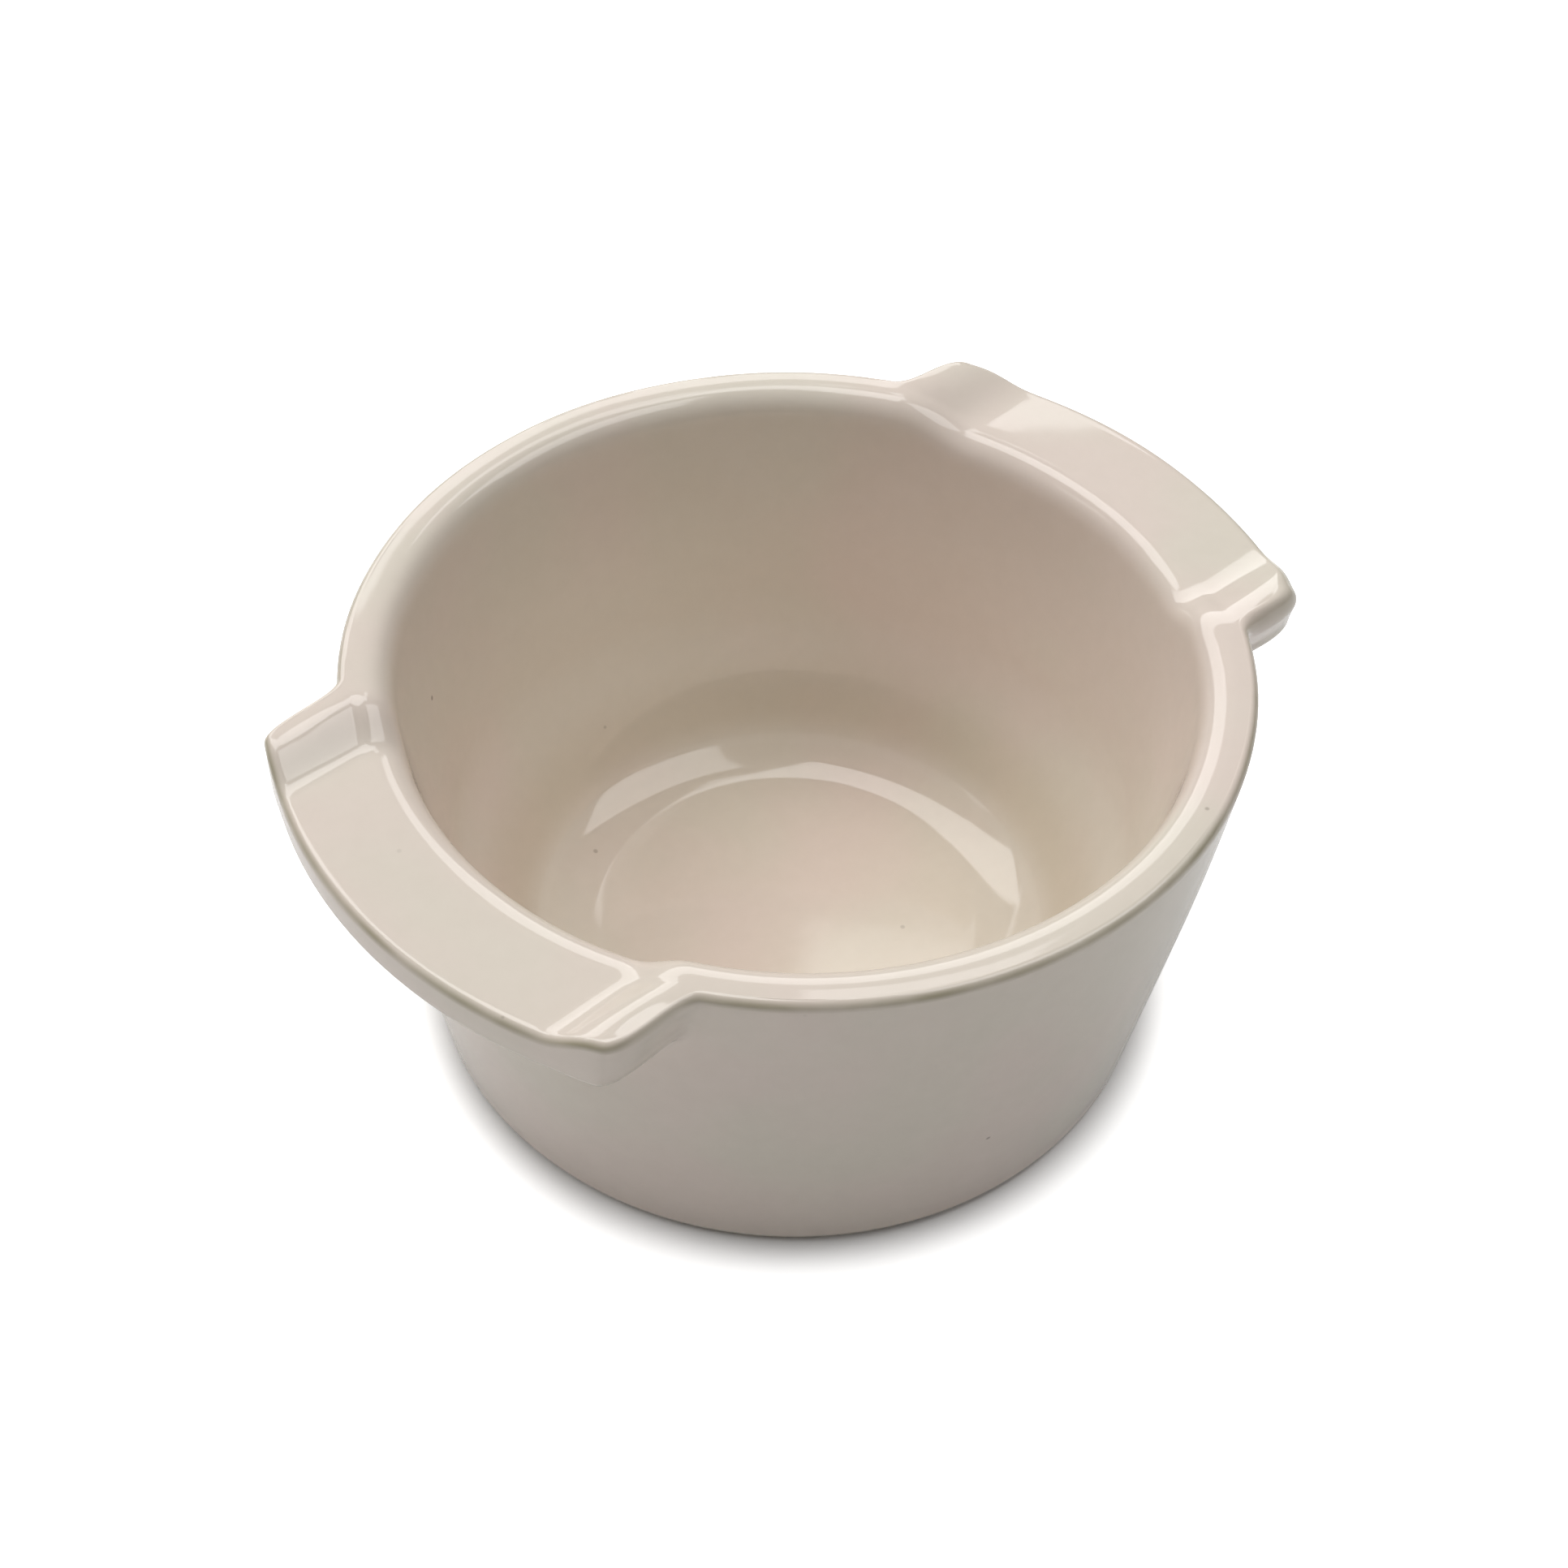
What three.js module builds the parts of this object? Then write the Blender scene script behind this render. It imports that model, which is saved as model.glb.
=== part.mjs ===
// Two-lugged glazed stoneware dish: one moulded clay body with its two lugs,
// the glaze fused over it, and the glazed recess inside the bare foot ring.
// Millimetres, +Z up, lugs on X, standing on z = 0.
import * as THREE from 'three';

// ---- outer wall ----
const RIM_R = 50.0;          // radius at the crisp outer edge of the rim
const RIM_EDGE_Z = 49.97;    // height at which the wall reaches RIM_R
const BASE_R = 43.26;        // wall radius just above the base fillet
const BASE_FILLET = 2.2;     // outer fillet between wall and foot
const WALL_BOW = 0.33;       // slight outward bow of the wall at mid height
// ---- rim ----
const RIM_TOP_Z = 50.97;     // top of the rim
const EDGE_ROUND = 1.0;      // round of the crisp outer edge
const EAR_EXTRA_ROUND = 0.9; // softer round on the ear flanks
const INNER_ROUND = 5.0;     // height of the broad round from the rim top into the bowl
const INNER_SPAN = 4.3;      // its width
// ---- lugs ----
const LUG_REACH = 8.13;      // how far a lug stands out from the wall
const SHELF_Z = 48.5;        // flat top of a lug
const RIDGE_DROP = 0.3;      // fall of a ridge from the rim to its tip
const FLANK_IN = 28.0;       // degrees: lug is at full reach inside this angle
const FLANK_OUT = 36.3;      // degrees: lug has merged with the rim beyond this
const CREASE_IN = 21.5;      // foot of the ridge slope, distance from lug axis
const CREASE_OUT = 25.9;     // top of the ridge slope
const LUG_SKEW = 1.3;        // degrees: both lugs sit slightly to the -Y side
const COVE_Z = 38.8;         // height at which the under-lug cove starts
const COVE_R = 4.0;
const LUG_UNDER_Z = 43.4;    // underside of a lug at its outer edge
const UNDER_ROUND = 1.5;
// ---- bowl ----
const BOWL_R = 39.9;         // inner radius at BOWL_Z
const BOWL_Z = 13.9;
const BOWL_TAPER = 0.122;    // radius gained per millimetre of height
const FLOOR_Z = 5.0;
const FLOOR_FILLET = 9.0;
// ---- glaze and foot ----
const GLAZE = 0.4;           // glaze thickness
const GLAZE_LINE = -36;      // degrees round the base fillet where glaze stops
const FOOT_OUT = 41.5;
const FOOT_IN = 37.6;
const RECESS_Z = 1.4;
const RECESS_R = 36.7;
const UNDER_GLAZE = 0.3;
const UNDER_GLAZE_R = 36.2;

const RAD = Math.PI / 180;
const smooth = (a, b, x) => {
  const t = Math.min(1, Math.max(0, (x - a) / (b - a)));
  return t * t * (3 - 2 * t);
};
const wallR = (z) => {
  const u = (RIM_EDGE_Z - z) / (RIM_EDGE_Z - BASE_FILLET);
  return RIM_R + (BASE_R - RIM_R) * u + 4 * WALL_BOW * u * (1 - u);
};
const bowlR = (z) => BOWL_R + BOWL_TAPER * (z - BOWL_Z);
const skewY = 50 * Math.sin(LUG_SKEW * RAD);

// angle from the nearest lug's own axis, in degrees
function lugAngle(th) {
  const x = Math.abs(Math.cos(th));
  return Math.abs(Math.atan2(Math.sin(th), x) / RAD + LUG_SKEW);
}
// height of the top surface: shelf between the ridges, rim and ridges outside
function topZ(r, th) {
  const x = r * Math.cos(th);
  const y = r * Math.sin(th);
  const bead = RIM_TOP_Z - RIDGE_DROP * smooth(RIM_R, RIM_R + 7, r);
  const m = Math.abs(x) > 25 ? smooth(CREASE_IN, CREASE_OUT, Math.abs(y + skewY)) : 1;
  return SHELF_Z + (bead - SHELF_Z) * m;
}

// one radial section of the glazed surface, from the glaze line at the foot,
// over the rim and down to the bowl floor; each entry is [radius, height, fine]
function section(th) {
  const p = [];
  const lug = 1 - smooth(FLANK_IN, FLANK_OUT, lugAngle(th));
  const round = EDGE_ROUND + EAR_EXTRA_ROUND * 4 * lug * (1 - lug);
  const cb = wallR(BASE_FILLET) - BASE_FILLET;
  for (const a of [GLAZE_LINE, GLAZE_LINE / 2, 0])
    p.push([cb + BASE_FILLET * Math.cos(a * RAD), BASE_FILLET + BASE_FILLET * Math.sin(a * RAD), 0]);
  p.push([wallR(20), 20, 0]);
  p.push([wallR(COVE_Z), COVE_Z, 1]);
  // height of the crisp edge on this section
  let edgeR = wallR(50) + LUG_REACH * lug;
  let edgeZ = SHELF_Z;
  for (let k = 0; k < 4; k++) {
    edgeZ = topZ(edgeR - round, th);
    edgeR = wallR(edgeZ - round) + LUG_REACH * lug;
  }
  const out = (e, z) => wallR(z) + lug * e * (1 + (wallR(edgeZ - round) - wallR(z)) / LUG_REACH);
  for (const a of [153, 126, 100])
    p.push([out(COVE_R + COVE_R * Math.cos(a * RAD), COVE_Z + COVE_R * Math.sin(a * RAD)),
      COVE_Z + COVE_R * Math.sin(a * RAD), 1]);
  const uz = LUG_UNDER_Z + UNDER_ROUND;
  for (const a of [-80, -40, 0])
    p.push([out(LUG_REACH - UNDER_ROUND + UNDER_ROUND * Math.cos(a * RAD), uz + UNDER_ROUND * Math.sin(a * RAD)),
      uz + UNDER_ROUND * Math.sin(a * RAD), 1]);
  for (const a of [0, 30, 60, 90])
    p.push([edgeR - round + round * Math.cos(a * RAD), edgeZ - round + round * Math.sin(a * RAD), 1]);
  const innerEnd = bowlR(RIM_TOP_Z - 2) + INNER_SPAN;
  const outerEnd = edgeR - round;
  for (const u of [0.25, 0.5, 0.75, 1]) {
    const r = outerEnd + (innerEnd - outerEnd) * u;
    p.push([r, topZ(r, th), 1]);
  }
  const zi = topZ(innerEnd, th);
  const span = innerEnd - bowlR(zi);
  for (const a of [112.5, 135, 157.5, 180]) {
    const z = zi - INNER_ROUND + INNER_ROUND * Math.sin(a * RAD);
    p.push([bowlR(z) + span * (1 + Math.cos(a * RAD)), z, 1]);
  }
  // bowl wall, floor fillet, flat floor
  const lean = Math.atan(BOWL_TAPER);
  const fz = FLOOR_Z + FLOOR_FILLET;
  const fr = bowlR(fz) - FLOOR_FILLET / Math.cos(lean);
  p.push([bowlR(29), 29, 0]);
  for (const t of [0, 0.34, 0.67, 1]) {
    const a = -lean + (-Math.PI / 2 + lean) * t;
    p.push([fr + FLOOR_FILLET * Math.cos(a), fz + FLOOR_FILLET * Math.sin(a), 0]);
  }
  return p;
}

const xyz = (th, q) => new THREE.Vector3(q[0] * Math.cos(th), q[0] * Math.sin(th), q[1]);

// unit normal of the glazed surface at section point k
function normalAt(th, k) {
  const d = 0.4 * RAD;
  const s = section(th);
  const here = xyz(th, s[k]);
  const t = new THREE.Vector3();
  if (k > 0) t.add(here.clone().sub(xyz(th, s[k - 1])).normalize());
  if (k < s.length - 1) t.add(xyz(th, s[k + 1]).sub(here).normalize());
  else t.add(new THREE.Vector3(-Math.cos(th), -Math.sin(th), 0));
  const round = xyz(th + d, section(th + d)[k]).sub(xyz(th - d, section(th - d)[k]));
  return round.cross(t).normalize();
}

// section angles: close together across the ridges, wider elsewhere
const QUARTER = [0, 8, 15, 19.5, 22.5, 24.5, 26, 27.5, 28.9, 30.1, 31.3, 32.6, 34, 35.6, 37.5, 42, 48, 57, 68, 79, 90];
const FINE = [];
{
  const half = [...QUARTER.slice(1).map((a) => -a).reverse(), ...QUARTER]; // -90 .. 90
  for (const a of half.slice(0, -1)) FINE.push((a - LUG_SKEW * Math.min(1, (90 - Math.abs(a)) / 45)) * RAD);
  for (const a of half.slice(0, -1)) FINE.push(Math.PI - (-a - LUG_SKEW * Math.min(1, (90 - Math.abs(a)) / 45)) * RAD);
}
FINE.sort((a, b) => a - b);
const COARSE = Array.from({ length: 48 }, (_, i) => FINE[0] + (i * Math.PI) / 24);

// a ring is a list of [angle, Vector3]; the last entry of a body may be a point
const kinds = section(0.3).map((q) => q[2]);
const outer = kinds.map((fine, k) => (fine ? FINE : COARSE).map((th) => [th, xyz(th, section(th)[k])]));
const inner = kinds.map((fine, k) => (fine ? FINE : COARSE).map((th) => [
  th, xyz(th, section(th)[k]).addScaledVector(normalAt(th, k), -GLAZE)]));
// the bowl floor under the glaze is flat
for (const e of inner[inner.length - 1]) e[1].z = FLOOR_Z - GLAZE;
const flatRing = (r, z) => COARSE.map((th) => [th, new THREE.Vector3(r * Math.cos(th), r * Math.sin(th), z)]);

class Skin {
  constructor() { this.v = []; }
  tri(a, b, c) { this.v.push(a.x, a.y, a.z, b.x, b.y, b.z, c.x, c.y, c.z); }
  // joins two rings of any counts, going round with the angle
  strip(A, B, flip) {
    const n = A.length, m = B.length;
    let i = 0, j = 0;
    const at = (R, k) => R[k % R.length][0] + (k >= R.length ? 2 * Math.PI : 0);
    while (i < n || j < m) {
      const stepA = j >= m || (i < n && at(A, i + 1) <= at(B, j + 1));
      const a = A[i % n][1], b = B[j % m][1];
      const c = stepA ? A[(i + 1) % n][1] : B[(j + 1) % m][1];
      if (flip) this.tri(a, b, c); else this.tri(a, c, b);
      if (stepA) i++; else j++;
    }
  }
  fan(A, centre, flip) {
    for (let i = 0; i < A.length; i++) {
      const a = A[i][1], b = A[(i + 1) % A.length][1];
      if (flip) this.tri(b, a, centre); else this.tri(a, b, centre);
    }
  }
  mesh(name, colour, rough) {
    const g = new THREE.BufferGeometry();
    g.setAttribute('position', new THREE.Float32BufferAttribute(this.v, 3));
    g.computeVertexNormals();
    const m = new THREE.Mesh(g, new THREE.MeshStandardMaterial({ color: colour, roughness: rough, metalness: 0 }));
    m.name = name;
    return m;
  }
}

// ---- clay body with both lugs: foot, recess, and everything under the glaze ----
const clay = new Skin();
const foot = [
  flatRing(RECESS_R, RECESS_Z), flatRing(FOOT_IN - 0.5, 0.5), flatRing(FOOT_IN, 0),
  flatRing(FOOT_OUT, 0), flatRing(FOOT_OUT + 0.6, 0.45),
];
clay.fan(foot[0], new THREE.Vector3(0, 0, RECESS_Z), true);
for (let k = 0; k + 1 < foot.length; k++) clay.strip(foot[k], foot[k + 1], false);
clay.strip(foot[foot.length - 1], inner[0], false);
for (let k = 0; k + 1 < inner.length; k++) clay.strip(inner[k], inner[k + 1], false);
clay.fan(inner[inner.length - 1], new THREE.Vector3(0, 0, FLOOR_Z - GLAZE), false);

// ---- glaze coat: from the glaze line, over rim and lugs, to the bowl floor ----
const glaze = new Skin();
for (let k = 0; k + 1 < outer.length; k++) glaze.strip(outer[k], outer[k + 1], false);
glaze.fan(outer[outer.length - 1], new THREE.Vector3(0, 0, FLOOR_Z), false);
for (let k = 0; k + 1 < inner.length; k++) glaze.strip(inner[k], inner[k + 1], true);
glaze.fan(inner[inner.length - 1], new THREE.Vector3(0, 0, FLOOR_Z - GLAZE), true);
glaze.strip(inner[0], outer[0], false);

// ---- glaze in the recess inside the bare foot ring ----
const under = new Skin();
const u0 = flatRing(UNDER_GLAZE_R - 0.2, RECESS_Z - UNDER_GLAZE);
const u1 = flatRing(UNDER_GLAZE_R, RECESS_Z - UNDER_GLAZE + 0.12);
const u2 = flatRing(UNDER_GLAZE_R, RECESS_Z);
under.fan(u0, new THREE.Vector3(0, 0, RECESS_Z - UNDER_GLAZE), true);
under.strip(u0, u1, false);
under.strip(u1, u2, false);
under.fan(u2, new THREE.Vector3(0, 0, RECESS_Z), false);

const group = new THREE.Group();
group.name = 'ramekin_dish';
group.add(clay.mesh('stoneware_body', 0xcdbfa9, 0.9));
group.add(glaze.mesh('glaze_coat', 0xe0d8cd, 0.2));
group.add(under.mesh('underside_glaze', 0xdcd3c6, 0.25));
export default group;
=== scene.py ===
"""Two-lugged glazed stoneware ramekin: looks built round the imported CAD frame.
Lugs on X, standing on z = 0. Shapes are worked out in millimetres and written in metres."""

import math

import bpy
import numpy as np
from mathutils import Matrix, Vector


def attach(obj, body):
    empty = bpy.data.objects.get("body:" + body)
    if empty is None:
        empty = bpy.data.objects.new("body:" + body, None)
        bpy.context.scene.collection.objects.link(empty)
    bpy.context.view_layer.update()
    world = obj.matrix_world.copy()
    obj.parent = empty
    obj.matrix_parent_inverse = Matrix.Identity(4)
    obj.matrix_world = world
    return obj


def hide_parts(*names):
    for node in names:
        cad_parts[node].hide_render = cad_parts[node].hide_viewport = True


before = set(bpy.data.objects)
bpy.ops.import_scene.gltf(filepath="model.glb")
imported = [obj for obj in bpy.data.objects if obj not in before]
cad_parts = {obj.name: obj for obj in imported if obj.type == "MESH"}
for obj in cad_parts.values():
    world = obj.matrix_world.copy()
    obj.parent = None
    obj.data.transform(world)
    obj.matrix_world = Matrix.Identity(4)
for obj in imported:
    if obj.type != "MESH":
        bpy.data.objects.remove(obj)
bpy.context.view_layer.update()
MM = 0.001

# ------------------------------------------------------------------ dimensions
RIM_R, RIM_EDGE_Z = 50.0, 49.97
BASE_R, BASE_FILLET, WALL_BOW = 43.26, 2.2, 0.33
RIM_TOP_Z, EDGE_ROUND, INNER_ROUND, INNER_SPAN, INNER_POW = 50.97, 1.0, 3.8, 4.3, 0.70
LUG_REACH, SHELF_Z, RIDGE_DROP = 8.13, 48.5, 0.3
FLANK_IN, FLANK_OUT = 28.0, 36.3
LUG_SKEW = 1.3
COVE_Z, COVE_R, LUG_UNDER_Z, UNDER_ROUND = 38.8, 4.0, 43.4, 1.5
BOWL_R, BOWL_Z, BOWL_TAPER = 38.6, 13.9, 0.158
FLOOR_Z = 4.4
BEND_FROM, BEND_R, BEND_TO, CREASE_R = 22.0, 15.9, 33.0, 30.7
GLAZE, GLAZE_LINE = 0.4, -36.0
# painted shade in the bend of the bowl: its height, its spread up and down, and its tint
SHADE_Z, SHADE_UP, SHADE_DOWN, PAINTED_SHADE_TINT = 9.2, 4.8, 2.4, (0.865, 0.83, 0.775)
FOOT_OUT, FOOT_IN, RECESS_Z, RECESS_R = 41.5, 37.6, 1.4, 36.7
UNDER_GLAZE, UNDER_GLAZE_R = 0.3, 36.2
# by corner: extra round on the ridge flanks, and where the shelf starts to rise and the ridge is full height
EAR_EXTRA = {(1, 1): 1.25, (-1, 1): 0.8, (-1, -1): 0.4, (1, -1): 1.8}
CREASE = {(1, 1): (17.4, 28.8), (-1, 1): (19.6, 27.4), (-1, -1): (20.0, 27.2), (1, -1): (17.8, 28.2)}


def sst(a, b, x):
    t = np.clip((x - a) / (b - a), 0, 1)
    return t * t * (3 - 2 * t)


def sst5(a, b, x):
    t = np.clip((x - a) / (b - a), 0, 1)
    return t ** 3 * (10 - 15 * t + 6 * t * t)


def wall_r(z):
    u = (RIM_EDGE_Z - z) / (RIM_EDGE_Z - BASE_FILLET)
    return RIM_R + (BASE_R - RIM_R) * u + 4 * WALL_BOW * u * (1 - u)


def bowl_r(z):
    return BOWL_R + BOWL_TAPER * (z - BOWL_Z)


def top_z(r, th):
    x, y = r * np.cos(th), r * np.sin(th)
    bead = RIM_TOP_Z - RIDGE_DROP * sst(RIM_R, RIM_R + 7, r)
    off, m = y + 50 * math.sin(math.radians(LUG_SKEW)), 1.0
    for (kx, ky), (a, b) in CREASE.items():
        m = np.where((kx * x > 25) & (ky * off > 0), sst5(a, b, np.abs(off)), m)
    return SHELF_Z + (bead - SHELF_Z) * m


def painted_bowl_shade(z):
    """Painted shade, strongest just above the bend of the bowl, fading up the wall and down into the bend."""
    return np.exp(-((z - SHADE_Z) / np.where(z > SHADE_Z, SHADE_UP, SHADE_DOWN)) ** 2)


def rings(th, n):
    """Glazed surface as rings of points, foot to bowl centre. Returns points (mm), the ring's part name,
    and how sharply each ring turns outwards there (for the thin glaze on crisp edges), negative where shade is painted
    in the bowl."""
    cx, sx = np.cos(th), np.sin(th)
    phi = np.abs(np.degrees(np.arctan2(sx, np.abs(cx))) + LUG_SKEW)
    s = 1 - sst(FLANK_IN, FLANK_OUT, phi)
    low = 1 - sst(FLANK_IN - 0.8, FLANK_OUT - 1.2, phi)      # the flanks lean in towards the underside
    bump = 4 * s * (1 - s)
    w = {k: np.where(np.sign(cx) * k[0] > 0, 1.0, 0.0) * np.where(np.sign(sx) * k[1] > 0, 1.0, 0.0) for k in EAR_EXTRA}
    ball = 1 - (1 - bump) * (1 - 0.8 * np.exp(-((phi - FLANK_IN - 0.5) / 3.2) ** 2))
    rnd = EDGE_ROUND + sum(w[k] * EAR_EXTRA[k] * (ball if EAR_EXTRA[k] > 1 else bump) for k in w)
    under = LUG_UNDER_Z + 1.3 * (1 - s)
    cove = COVE_Z + 1.0 * (1 - s)
    out, tag, edge_thin_and_shade = [], [], []

    def add(r, z, name, t=0.0):
        r, z = r + 0 * th, z + 0 * th
        out.append(np.stack([r * cx, r * sx, z], -1)); tag.append(name); edge_thin_and_shade.append(t + 0 * th)

    cb = wall_r(BASE_FILLET) - BASE_FILLET
    for a in np.radians(np.linspace(GLAZE_LINE, 0, n["base"])):
        add(cb + BASE_FILLET * np.cos(a), BASE_FILLET + BASE_FILLET * np.sin(a), "base")
    for u in np.linspace(0, 1, n["wall"] + 1)[1:]:
        z = BASE_FILLET + (cove - BASE_FILLET) * u
        add(wall_r(z), z, "wall")
    edge_r = wall_r(50.0) + LUG_REACH * s
    for _ in range(4):
        edge_z = top_z(edge_r - rnd, th)
        edge_r = wall_r(edge_z - rnd) + LUG_REACH * s
    rim_r = wall_r(edge_z - rnd)

    def side(e, z, k):
        return wall_r(z) + k * e * (1 + (rim_r - wall_r(z)) / LUG_REACH)

    for a in np.radians(np.linspace(180, 100, n["cove"] + 1))[1:]:
        z = cove + COVE_R * np.sin(a)
        add(side(COVE_R + COVE_R * np.cos(a), z, low), z, "cove")
    for a in np.radians(np.linspace(-80, 0, n["bot"])):
        z = under + UNDER_ROUND + UNDER_ROUND * np.sin(a)
        add(side(LUG_REACH - UNDER_ROUND + UNDER_ROUND * np.cos(a), z, low), z, "bot",
            0.55 * math.exp(-((math.degrees(a) + 35) / 24) ** 2) * low)
    z1 = under + UNDER_ROUND
    for j in range(1, n["side"] + 1):
        u = j / n["side"]
        z = z1 + (edge_z - rnd - z1) * u
        add(side(LUG_REACH, z, low + (s - low) * u), z, "side")
    for j, a in enumerate(np.radians(np.linspace(0, 90, n["edge"] + 1))[1:]):
        add(edge_r - rnd + rnd * np.cos(a), edge_z - rnd + rnd * np.sin(a), "edge",
            math.exp(-((math.degrees(a) - 38) / 26) ** 2) / (0.55 + 0.45 * rnd / EDGE_ROUND))
    r_in = bowl_r(RIM_TOP_Z - 2) + INNER_SPAN
    r_out = edge_r - rnd
    for j in range(1, n["top"] + 1):
        r = r_out + (r_in - r_out) * j / n["top"]
        add(r, top_z(r, th), "top")
    z_in = top_z(r_in + 0 * th, th)
    for a in np.radians(np.linspace(90, 180, n["inn"] + 1))[1:]:
        z = z_in - INNER_ROUND + INNER_ROUND * abs(np.sin(a)) ** INNER_POW
        add(bowl_r(z) + (1 - abs(np.cos(a)) ** INNER_POW) * (r_in - bowl_r(z_in)), z, "inn")
    # bowl wall, and a floor that bends up into it in one long curve; shade is painted in the bend and over the floor,
    # with a faint step at the crease
    lean = math.pi / 2 - math.atan(BOWL_TAPER)
    fr = np.linspace(BEND_FROM - 2, BEND_TO, 440)
    tilt = np.arcsin(np.clip(fr - BEND_FROM, 0, None) / BEND_R)
    tilt = np.where(fr > CREASE_R, math.asin((BEND_TO - BEND_FROM) / BEND_R), tilt)
    tilt = np.tan(np.convolve(np.pad(tilt, 5, "edge"), np.ones(11) / 11, "valid"))
    fz = FLOOR_Z + np.concatenate([[0], np.cumsum((tilt[1:] + tilt[:-1]) / 2 * np.diff(fr))])
    t0 = math.asin((BEND_TO - BEND_FROM) / BEND_R)
    ds, dc = math.sin(lean) - math.sin(t0), math.cos(t0) - math.cos(lean)
    rho = (BOWL_R + BOWL_TAPER * (fz[-1] - BOWL_Z) - BEND_TO) / (ds - BOWL_TAPER * dc)
    z_t = fz[-1] + rho * dc
    for j in range(1, n["bowl"] + 1):
        z = (z_in - INNER_ROUND) + (z_t - (z_in - INNER_ROUND)) * j / n["bowl"]
        add(bowl_r(z), z, "bowl", -painted_bowl_shade(z))
    for a in np.linspace(lean, t0, n["fillet"] + 1)[1:]:
        add(BEND_TO + rho * (math.sin(a) - math.sin(t0)), fz[-1] + rho * (math.cos(t0) - math.cos(a)), "fillet",
            -painted_bowl_shade(fz[-1] + rho * (math.cos(t0) - math.cos(a))))
    for r in [*np.linspace(BEND_TO, CREASE_R + 0.6, n["ring"] + 1)[1:], *np.linspace(CREASE_R + 0.4, CREASE_R - 0.6, n["step"]),
              *np.linspace(CREASE_R - 0.6, BEND_FROM - 1, n["dish"] + 1)[1:], *np.linspace(BEND_FROM - 1, 0, n["floor"] + 1)[1:]]:
        z = float(np.interp(r, fr, fz))
        # painted shade over the floor of the bowl, ending at the crease
        add(r, z, "floor", -max(painted_bowl_shade(z), 0.35 * sst(-CREASE_R - 0.4, -CREASE_R + 1.5, -r)))
    g = np.array(out)
    r = np.hypot(g[..., 0], g[..., 1])
    inside = np.array([t in ("fillet", "floor") for t in tag])[:, None]
    # hand-finished unevenness, a tenth of a millimetre over a few centimetres
    x, y, z = g[..., 0], g[..., 1], g[..., 2]
    wob = (np.sin(x / 9.1 + 1.3) * np.sin(y / 7.7 + 0.4) + 0.7 * np.sin((x + y) / 5.3 + z / 6.1)
           + 0.6 * np.sin((x - 1.4 * y) / 6.7 - z / 5.2 + 2.1))
    keep = sst(2.5, 6, z) * np.where(np.array([t in ("edge",) for t in tag])[:, None], 0.6, 1.0)
    g[..., 2] += 0.035 * wob * keep * (inside == 0)
    k = 1 + 0.05 * wob * keep * (inside == 0) / np.maximum(r, 20)
    g[..., 0] *= k
    g[..., 1] *= k
    return g, tag, np.array(edge_thin_and_shade)


def normals(g):
    dt = np.roll(g, -1, 1) - np.roll(g, 1, 1)
    ds = np.empty_like(g)
    ds[1:-1] = g[2:] - g[:-2]
    ds[0], ds[-1] = g[1] - g[0], g[-1] - g[-2]
    nn = np.cross(dt, ds)
    ln = np.linalg.norm(nn, axis=-1, keepdims=True)
    nn = nn / np.maximum(ln, 1e-9)
    nn[-1] = (0, 0, 1)
    return nn


def angles(step_lug, step_ear, step_rest):
    q = np.concatenate([np.arange(0, 18, step_lug), np.arange(18, 40, step_ear), np.arange(40, 90, step_rest)])
    th = np.concatenate([q, 180 - q, 180 + q, 360 - q, [90, 270]]) % 360
    return np.radians(np.unique(np.round(th, 4)))


class Build:
    """Collects rings of points and joins them into one closed skin."""

    def __init__(self):
        self.v, self.f, self.a = [], [], []
        self.n = 0

    def ring(self, pts, val=0.0):
        self.v.append(np.asarray(pts, float))
        self.a.append(np.zeros(len(pts)) + val)
        i = np.arange(self.n, self.n + len(pts))
        self.n += len(pts)
        return i

    def strip(self, a, b):
        a2, b2 = np.roll(a, -1), np.roll(b, -1)
        self.f.extend(zip(a.tolist(), a2.tolist(), b2.tolist(), b.tolist()))

    def cap(self, a, centre, flip=False, val=0.0):
        c = int(self.ring([centre], val)[0])
        a2 = np.roll(a, -1)
        for p, q in zip(a.tolist(), a2.tolist()):
            self.f.append((q, p, c) if flip else (p, q, c))

    def make(self, name, material, attr="thin_glaze_and_shade"):
        v = np.concatenate(self.v) * MM
        me = bpy.data.meshes.new(name)
        me.from_pydata([tuple(p) for p in v], [], self.f)
        me.validate()
        me.shade_smooth()
        at = me.attributes.new(attr, "FLOAT", "POINT")
        at.data.foreach_set("value", np.concatenate(self.a).astype(np.float32))
        me.update()
        ob = bpy.data.objects.new(name, me)
        bpy.context.scene.collection.objects.link(ob)
        me.materials.append(material)
        return ob


def circle(r, z, th):
    return np.stack([r * np.cos(th), r * np.sin(th), z + 0 * th], -1)


# ------------------------------------------------------------------- materials
def new_material(name):
    m = bpy.data.materials.new(name)
    m.use_nodes = True
    nt = m.node_tree
    nt.nodes.clear()
    out = nt.nodes.new("ShaderNodeOutputMaterial")
    bsdf = nt.nodes.new("ShaderNodeBsdfPrincipled")
    nt.links.new(bsdf.outputs["BSDF"], out.inputs["Surface"])
    return m, nt, bsdf


def node(nt, kind, **props):
    n = nt.nodes.new(kind)
    for k, v in props.items():
        if k in n.inputs:
            n.inputs[k].default_value = v
        else:
            setattr(n, k, v)
    return n


def mix_rgb(nt, fac, a, b, mode="MIX"):
    n = nt.nodes.new("ShaderNodeMix")
    n.data_type, n.blend_type = "RGBA", mode
    for sock, val in ((n.inputs[0], fac), (n.inputs[6], a), (n.inputs[7], b)):
        if hasattr(val, "is_linked"):
            nt.links.new(val, sock)
        elif isinstance(val, tuple):
            sock.default_value = (*val, 1)
        else:
            sock.default_value = val
    return n.outputs[2]


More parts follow.
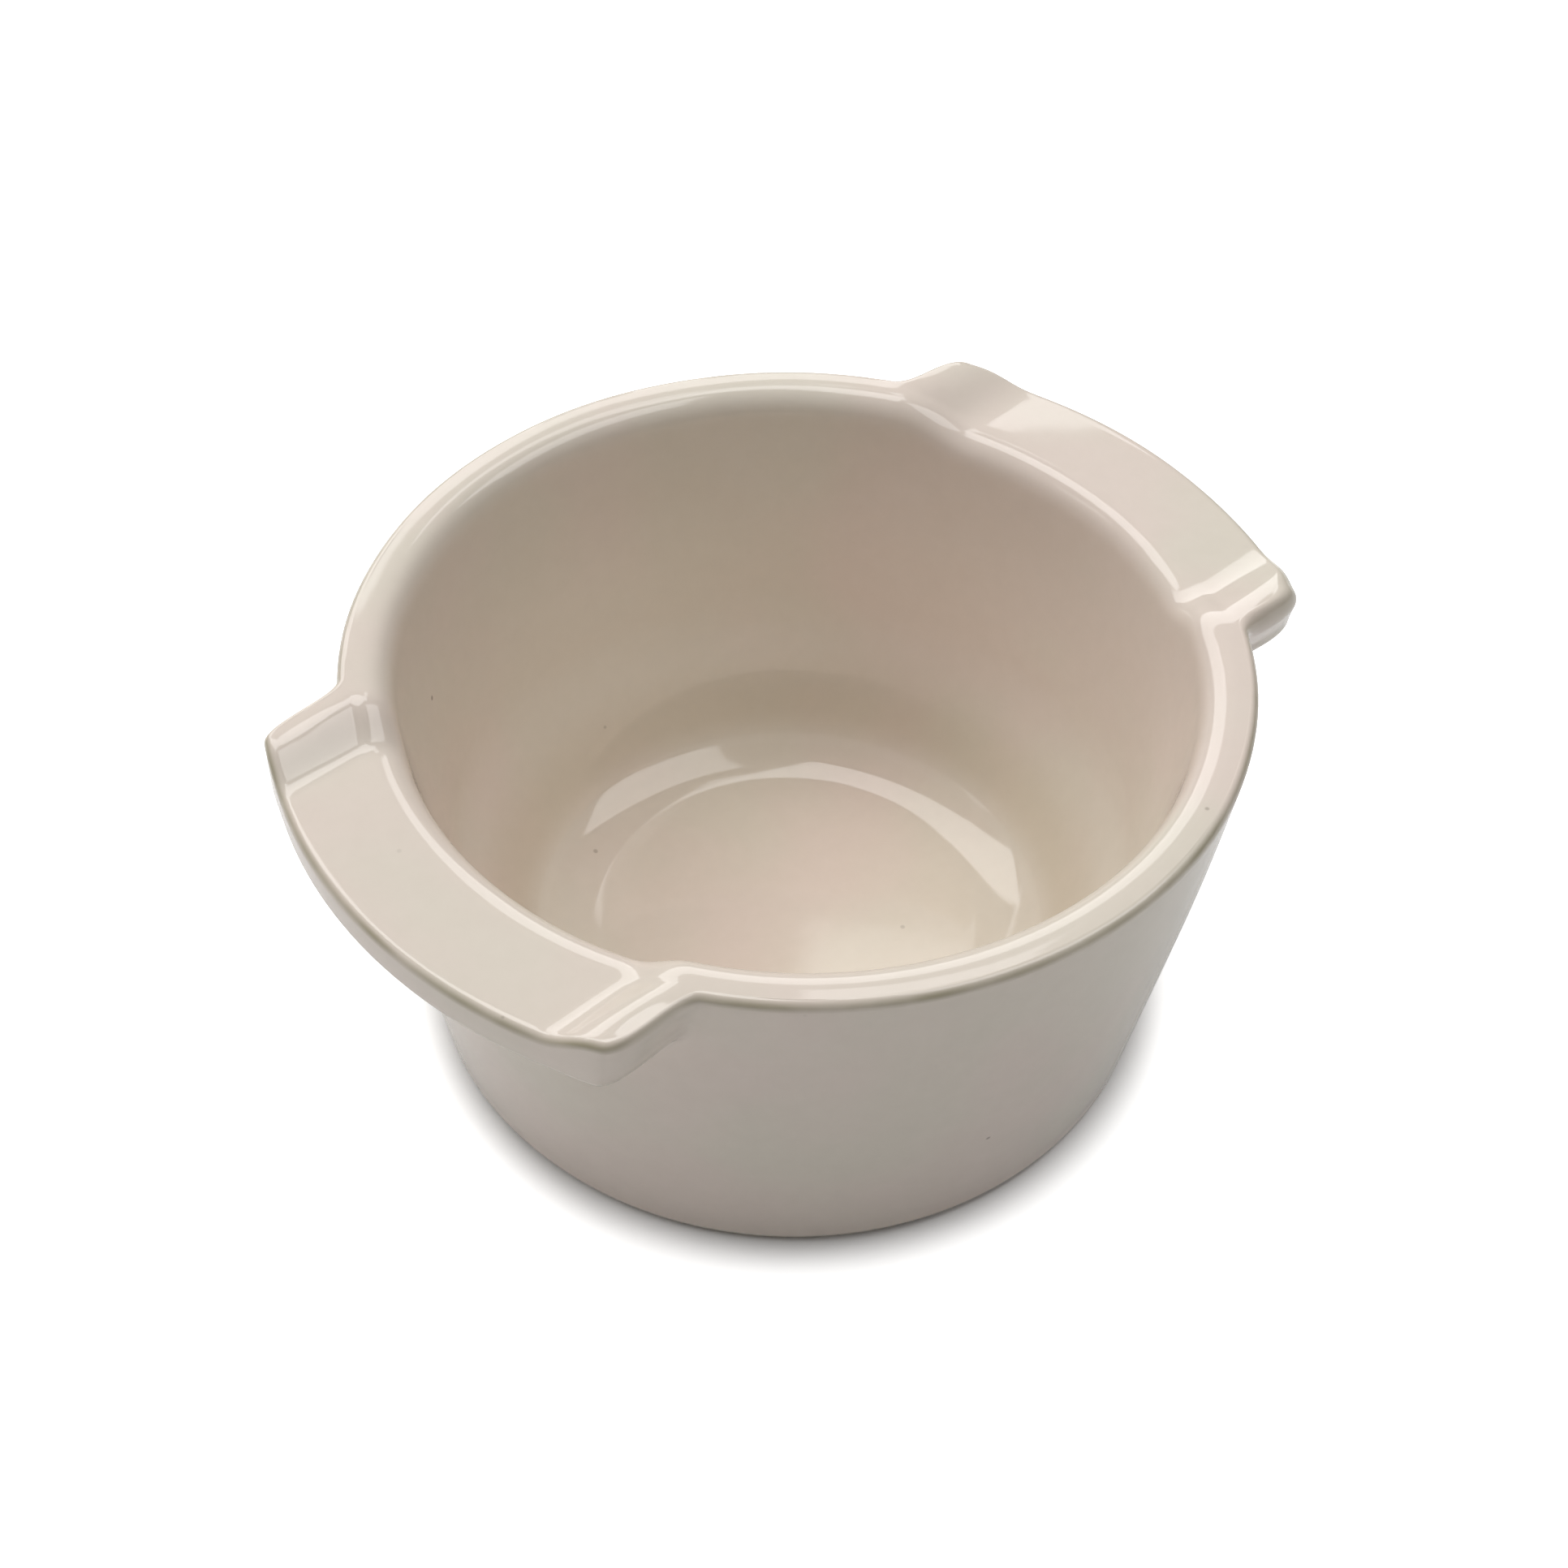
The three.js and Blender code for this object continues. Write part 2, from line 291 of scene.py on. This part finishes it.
def remap(nt, value, a, b, c=0.0, d=1.0, smooth=False):
    n = nt.nodes.new("ShaderNodeMapRange")
    n.interpolation_type = "SMOOTHSTEP" if smooth else "LINEAR"
    nt.links.new(value, n.inputs["Value"])
    for k, v in (("From Min", a), ("From Max", b), ("To Min", c), ("To Max", d)):
        n.inputs[k].default_value = v
    return n.outputs["Result"]


def math_node(nt, op, a, b):
    n = nt.nodes.new("ShaderNodeMath")
    n.operation = op
    for i, v in enumerate((a, b)):
        if hasattr(v, "is_linked"):
            nt.links.new(v, n.inputs[i])
        else:
            n.inputs[i].default_value = v
    return n.outputs[0]


def glaze_material(name, rosy, green, rough=0.06):
    m, nt, bsdf = new_material(name)
    co = nt.nodes.new("ShaderNodeTexCoord").outputs["Object"]
    cloud = node(nt, "ShaderNodeTexNoise", Scale=34.0, Detail=2.5, Roughness=0.5)
    nt.links.new(co, cloud.inputs["Vector"])
    base = mix_rgb(nt, remap(nt, cloud.outputs["Fac"], 0.36, 0.64, smooth=True), rosy, green)
    # finer cloudiness of the glaze
    fine = node(nt, "ShaderNodeTexNoise", Scale=420.0, Detail=3.0, Roughness=0.6)
    nt.links.new(co, fine.inputs["Vector"])
    base = mix_rgb(nt, remap(nt, fine.outputs["Fac"], 0.3, 0.7, 0.0, 0.10), base, (0.80, 0.78, 0.74), "MULTIPLY")
    # thin glaze on crisp edges: olive tan clay shows through, unevenly
    thin_glaze_and_shade = nt.nodes.new("ShaderNodeAttribute")
    thin_glaze_and_shade.attribute_name = "thin_glaze_and_shade"
    patchy = node(nt, "ShaderNodeTexNoise", Scale=150.0, Detail=2.0)
    nt.links.new(co, patchy.inputs["Vector"])
    amount = math_node(nt, "MULTIPLY", thin_glaze_and_shade.outputs["Fac"], remap(nt, patchy.outputs["Fac"], 0.3, 0.7, 0.35, 0.85))
    base = mix_rgb(nt, amount, base, (0.40, 0.36, 0.24))
    # negative values of the same attribute: painted shade in the bend of the bowl and over its floor
    painted_shade = math_node(nt, "MULTIPLY", thin_glaze_and_shade.outputs["Fac"], -1.0)
    base = mix_rgb(nt, remap(nt, painted_shade, 0.0, 1.0), base, PAINTED_SHADE_TINT, "MULTIPLY")
    # pin specks, most cells empty
    vor = node(nt, "ShaderNodeTexVoronoi", Scale=185.0)
    nt.links.new(co, vor.inputs["Vector"])
    pick = nt.nodes.new("ShaderNodeSeparateColor")
    nt.links.new(vor.outputs["Color"], pick.inputs["Color"])
    few = remap(nt, pick.outputs["Red"], 0.86, 0.88)
    dot = remap(nt, vor.outputs["Distance"], 0.035, 0.075, 1.0, 0.0, smooth=True)
    speck = math_node(nt, "MULTIPLY", math_node(nt, "MULTIPLY", few, dot), remap(nt, pick.outputs["Green"], 0, 1, 0.1, 0.6))
    base = mix_rgb(nt, speck, base, (0.16, 0.11, 0.07))
    nt.links.new(base, bsdf.inputs["Base Color"])
    nt.links.new(remap(nt, cloud.outputs["Fac"], 0.3, 0.7, rough - 0.015, rough + 0.02), bsdf.inputs["Roughness"])
    bsdf.inputs["IOR"].default_value = 1.54
    # orange peel
    peel = node(nt, "ShaderNodeTexNoise", Scale=190.0, Detail=1.5, Roughness=0.45)
    nt.links.new(co, peel.inputs["Vector"])
    bump = node(nt, "ShaderNodeBump", Strength=0.06, Distance=0.0002)
    height = math_node(nt, "SUBTRACT", peel.outputs["Fac"], math_node(nt, "MULTIPLY", speck, 0.8))
    nt.links.new(height, bump.inputs["Height"])
    nt.links.new(bump.outputs["Normal"], bsdf.inputs["Normal"])
    return m


def clay_material(name):
    m, nt, bsdf = new_material(name)
    co = nt.nodes.new("ShaderNodeTexCoord").outputs["Object"]
    a = node(nt, "ShaderNodeTexNoise", Scale=70.0, Detail=4.0, Roughness=0.6)
    b = node(nt, "ShaderNodeTexNoise", Scale=1500.0, Detail=3.0, Roughness=0.7)
    nt.links.new(co, a.inputs["Vector"]); nt.links.new(co, b.inputs["Vector"])
    base = mix_rgb(nt, remap(nt, a.outputs["Fac"], 0.35, 0.65), (0.66, 0.57, 0.45), (0.56, 0.46, 0.34))
    base = mix_rgb(nt, remap(nt, b.outputs["Fac"], 0.3, 0.7, 0.0, 0.5), base, (0.70, 0.66, 0.60), "MULTIPLY")
    grit = node(nt, "ShaderNodeTexVoronoi", Scale=900.0)
    nt.links.new(co, grit.inputs["Vector"])
    base = mix_rgb(nt, remap(nt, grit.outputs["Distance"], 0.0, 0.16, 0.55, 0.0), base, (0.30, 0.22, 0.14))
    nt.links.new(base, bsdf.inputs["Base Color"])
    nt.links.new(remap(nt, b.outputs["Fac"], 0.3, 0.7, 0.82, 0.95), bsdf.inputs["Roughness"])
    bsdf.inputs["Specular IOR Level"].default_value = 0.25
    bump = node(nt, "ShaderNodeBump", Strength=0.35, Distance=0.0003)
    nt.links.new(b.outputs["Fac"], bump.inputs["Height"])
    nt.links.new(bump.outputs["Normal"], bsdf.inputs["Normal"])
    return m


ROSY, GREEN = (0.82, 0.712, 0.634), (0.79, 0.724, 0.624)
cream = glaze_material("cream_glaze", ROSY, GREEN)
recess = glaze_material("recess_glaze", ROSY, GREEN, 0.12)
clay = clay_material("bare_clay")

# ------------------------------------------------------------------ glaze coat
TH = angles(1.5, 0.4, 2.0)
N_OUT = dict(base=6, wall=22, cove=10, bot=8, side=5, edge=9, top=22, inn=24, bowl=26, fillet=22, ring=4, step=9, dish=24, floor=6)
N_IN = dict(base=3, wall=8, cove=4, bot=4, side=2, edge=4, top=8, inn=10, bowl=8, fillet=8, ring=2, step=2, dish=4, floor=3)
outer, tags, edge_thin_and_shade = rings(TH, N_OUT)
inner_surface, tags_in, _ = rings(TH, N_IN)
inner = inner_surface - GLAZE * normals(inner_surface)
under_clay = inner_surface - (GLAZE + 0.03) * normals(inner_surface)

b = Build()
rows = [b.ring(outer[i], edge_thin_and_shade[i]) for i in range(len(outer) - 1)]
for lo, hi in zip(rows[:-1], rows[1:]):
    b.strip(lo, hi)
b.cap(rows[-1], outer[-1].mean(0), val=float(edge_thin_and_shade[-1][0]))
back = [b.ring(inner[i]) for i in range(len(inner) - 1)]
for lo, hi in zip(back[:-1], back[1:]):
    b.strip(hi, lo)
b.cap(back[-1], inner[-1].mean(0), flip=True)
# the rolled lower edge of the coat
o0, i0 = outer[0], inner[0]
along = outer[0] - outer[1]
along /= np.linalg.norm(along, axis=-1, keepdims=True)
mid = (o0 + i0) / 2
half = np.linalg.norm(o0 - i0, axis=-1, keepdims=True) / 2
roll = []
for a in (45, 90, 135):
    c, s_ = math.cos(math.radians(a)), math.sin(math.radians(a))
    roll.append(b.ring(mid + (o0 - mid) * c + along * half * s_ * 0.8, 0.5))
chain = [rows[0], *roll, back[0]]
for lo, hi in zip(chain[:-1], chain[1:]):
    b.strip(hi, lo)
glaze_ob = b.make("glaze", cream)

# ------------------------------------------------------------------- clay body
b = Build()
sec = [(RECESS_R, RECESS_Z), (RECESS_R + 0.12, 1.1), (FOOT_IN - 0.42, 0.42), (FOOT_IN - 0.2, 0.16), (FOOT_IN, 0.04),
       (FOOT_IN + 0.25, 0.0), (FOOT_IN + 1.6, 0.0), (FOOT_OUT - 1.4, 0.0), (FOOT_OUT - 0.15, 0.0), (FOOT_OUT + 0.12, 0.04),
       (FOOT_OUT + 0.35, 0.18), (FOOT_OUT + 0.6, 0.42)]
foot = [b.ring(circle(r, z, TH)) for r, z in [(6, RECESS_Z), (18, RECESS_Z), (30, RECESS_Z), (35.5, RECESS_Z), *sec]]
b.cap(foot[0], (0, 0, RECESS_Z), flip=True)
skin = [b.ring(under_clay[i]) for i in range(len(under_clay) - 1)]
chain = foot + skin
for lo, hi in zip(chain[:-1], chain[1:]):
    b.strip(lo, hi)
b.cap(skin[-1], under_clay[-1].mean(0))
clay_ob = b.make("clay_body", clay)

# ------------------------------------------------------- glaze in the recess
b = Build()
low = RECESS_Z - UNDER_GLAZE
prof = [(8, low + 0.05), (20, low + 0.03), (31, low), (UNDER_GLAZE_R - 0.9, low - 0.02), (UNDER_GLAZE_R - 0.3, low + 0.02),
        (UNDER_GLAZE_R - 0.06, low + 0.1), (UNDER_GLAZE_R, low + 0.2), (UNDER_GLAZE_R, RECESS_Z - 0.02)]
rr = [b.ring(circle(r + (0.12 * np.sin(5 * TH) + 0.1 * np.sin(11 * TH + 1)) * (r > 35), z, TH)) for r, z in prof]
b.cap(rr[0], (0, 0, low + 0.06), flip=True)
for lo, hi in zip(rr[:-1], rr[1:]):
    b.strip(lo, hi)
b.cap(rr[-1], (0, 0, RECESS_Z - 0.02))
under_ob = b.make("recess_coat", recess)

for ob, cad, slot in ((clay_ob, "stoneware_body", "bare_clay"), (glaze_ob, "glaze_coat", "cream_glaze"),
                      (under_ob, "underside_glaze", "recess_glaze")):
    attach(ob, "root")
    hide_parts(cad)

# ----------------------------------------------------------------------- floor
def floor_material(name, glow, far_white=False):
    """Pale paper sweep that glows, except right at the foot of the dish, where the missing glow leaves a painted
    shadow ring. far_white keeps it white far off.
    """
    m, nt, bsdf = new_material(name)
    co = nt.nodes.new("ShaderNodeTexCoord").outputs["Object"]
    n = node(nt, "ShaderNodeTexNoise", Scale=3.0, Detail=2.0)
    nt.links.new(co, n.inputs["Vector"])
    base = mix_rgb(nt, n.outputs["Fac"], (0.93, 0.93, 0.93), (0.95, 0.95, 0.95))
    nt.links.new(base, bsdf.inputs["Base Color"])
    bsdf.inputs["Roughness"].default_value = 0.9
    bsdf.inputs["Specular IOR Level"].default_value = 0.1
    if glow:
        dist = nt.nodes.new("ShaderNodeVectorMath")
        dist.operation = "LENGTH"
        nt.links.new(co, dist.inputs[0])
        bsdf.inputs["Emission Color"].default_value = (1, 1, 1, 1)
        # glow only away from the foot, so a ring of painted shadow is left round the dish
        foot_shadow_glow = remap(nt, dist.outputs["Value"], 0.0418, 0.0485, 0.0, glow, smooth=True)
        far = remap(nt, dist.outputs["Value"], 0.25, 1.2, 0.0, 1.0 - glow if far_white else 0.0, smooth=True)
        nt.links.new(math_node(nt, "ADD", foot_shadow_glow, far), bsdf.inputs["Emission Strength"])
    return m


def plane(name, z, size, material):
    me = bpy.data.meshes.new(name)
    me.from_pydata([(-size, -size, z), (size, -size, z), (size, size, z), (-size, size, z)], [], [(0, 1, 2, 3)])
    ob = bpy.data.objects.new(name, me)
    bpy.context.scene.collection.objects.link(ob)
    me.materials.append(material)
    return ob


# The floor that throws light on the dish isn't seen, and the floor that is seen throws none:
# the background can be white paper without the dish being lit from below.
floor = plane("bounce_floor", -0.00002, 6.0, floor_material("bounce_paper", 0.02))
floor.visible_camera = False
seen = plane("seen_floor", -0.00001, 6.0, floor_material("seen_paper", 0.74, far_white=True))
seen.visible_diffuse = seen.visible_glossy = seen.visible_transmission = seen.visible_shadow = False

# ---------------------------------------------------------------------- camera
# In a frame turned by LUG_AZ about Z, so that the camera looks along +Y from above.
LUG_AZ = math.radians(43.2)
CAM_D, CAM_EL, CAM_YAW, CAM_PITCH, CAM_ROLL, CAM_F = 302.97, 0.8748, -0.0042, -0.0668, -0.0349, 3000.0


def rot(axis, a):
    return np.array(Matrix.Rotation(a, 3, axis))


C = np.array([0, -CAM_D * math.cos(CAM_EL), CAM_D * math.sin(CAM_EL)])
fwd = -C / np.linalg.norm(C)
right = np.array([1.0, 0, 0])
up = np.cross(right, fwd)
R = rot("Z", CAM_ROLL) @ rot("X", CAM_PITCH) @ rot("Y", CAM_YAW) @ np.array([right, up, -fwd])
turn_back = rot("Z", -LUG_AZ)
M = Matrix.Identity(4)
cam_to_world = turn_back @ R.T
for i in range(3):
    for j in range(3):
        M[i][j] = float(cam_to_world[i, j])
    M[i][3] = float((turn_back @ C)[i] * MM)
cam = bpy.data.objects.new("camera", bpy.data.cameras.new("camera"))
bpy.context.scene.collection.objects.link(cam)
cam.data.sensor_width = 36.0
cam.data.lens = CAM_F * 36.0 / 1932.0
cam.data.clip_start, cam.data.clip_end = 0.01, 50.0
cam.matrix_world = M
bpy.context.scene.camera = cam

# ---------------------------------------------------------------------- lights
# Two strip boxes overhead, flat at 1.2 m, which show in the glaze.
# name, x, y (in heights, camera's turned frame), length, width (in heights), angle, radiance
HEIGHT = 1.2
PANELS = [
    ("left_strip_box", -0.407, 0.5235, 1.00, 0.42, 156.0, 3.4),
    ("left_strip_core", -0.68, 0.52, 0.50, 0.10, 140.0, 2.6),
    ("back_strip_end", 0.075, 0.60, 0.50, 0.13, 90.0, 2.2),
    ("right_strip_box", 0.522, 0.158, 0.70, 0.45, 25.5, 2.5),
    ("right_strip_core", 0.588, 0.0185, 0.50, 0.08, 25.5, 2.4),
    ("right_near_box", 0.737, -0.293, 0.70, 0.45, 25.5, 0.1),
]
# Softboxes and fills round the sides; the last value says whether they show in the glaze.
# name, azimuth, elevation (degrees; 0 right, 90 away, 180 left), distance, width, height (m), radiance, gloss
FILLS = [
    ("left_box", 178, 42, 1.3, 0.95, 0.75, 1.8, False),
    ("left_low_core", 176, 47, 1.3, 0.26, 0.22, 1.2, True),
    ("back_left_box", 111, 29, 1.3, 1.40, 0.58, 2.4, True),
    ("back_high_box", 86, 46, 1.3, 1.10, 0.42, 0.15, True),
    ("fill_back", 45, 25, 1.3, 0.7, 0.5, 0.2, False),
    ("fill_right", 350, 30, 1.3, 0.9, 0.5, 0.05, False),
    ("fill_front", 285, 28, 1.3, 1.2, 0.6, 0.18, False),
    ("fill_top_front", 285, 68, 1.3, 0.9, 0.6, 1.3, False),
    ("fill_top_back", 90, 75, 1.3, 0.8, 0.5, 0.5, False),
]
WORLD = 0.03


def panel_light(name, x, y, length, width, angle, radiance):
    data = bpy.data.lights.new(name, "AREA")
    data.shape, data.size, data.size_y = "RECTANGLE", length * HEIGHT, width * HEIGHT
    data.energy = radiance * data.size * data.size_y * math.pi
    ob = bpy.data.objects.new(name, data)
    place = Matrix.Translation((x * HEIGHT, y * HEIGHT, HEIGHT + 0.005)) @ Matrix.Rotation(math.radians(angle), 4, "Z")
    ob.matrix_world = Matrix.Rotation(-LUG_AZ, 4, "Z") @ place
    ob.visible_camera = False
    bpy.context.scene.collection.objects.link(ob)
    return ob


def fill_light(name, az, el, dist, w, h, radiance, gloss):
    d = Vector((math.cos(math.radians(el)) * math.cos(math.radians(az)),
                math.cos(math.radians(el)) * math.sin(math.radians(az)), math.sin(math.radians(el))))
    d = Matrix.Rotation(-LUG_AZ, 3, "Z") @ d
    data = bpy.data.lights.new(name, "AREA")
    data.shape, data.size, data.size_y = "RECTANGLE", w, h
    data.energy = radiance * w * h * math.pi
    ob = bpy.data.objects.new(name, data)
    ob.matrix_world = Matrix.Translation(d * dist + Vector((0, 0, 0.03))) @ d.to_track_quat("Z", "Y").to_matrix().to_4x4()
    ob.visible_camera, ob.visible_glossy = False, gloss
    bpy.context.scene.collection.objects.link(ob)
    return ob


for row in PANELS:
    panel_light(*row)
for row in FILLS:
    fill_light(*row)
world = bpy.data.worlds.new("studio")
bpy.context.scene.world = world
world.use_nodes = True
wt = world.node_tree
wt.nodes.clear()
# a white room behind the dish, which throws only a little light
path = wt.nodes.new("ShaderNodeLightPath")
level = remap(wt, path.outputs["Is Camera Ray"], 0.0, 1.0, WORLD, 1.0)
bg = wt.nodes.new("ShaderNodeBackground")
bg.inputs["Color"].default_value = (1.0, 1.0, 1.0, 1)
wt.links.new(level, bg.inputs["Strength"])
wt.links.new(bg.outputs[0], wt.nodes.new("ShaderNodeOutputWorld").inputs[0])
bpy.context.scene.view_settings.view_transform = "Standard"
bpy.context.scene.view_settings.look = "None"
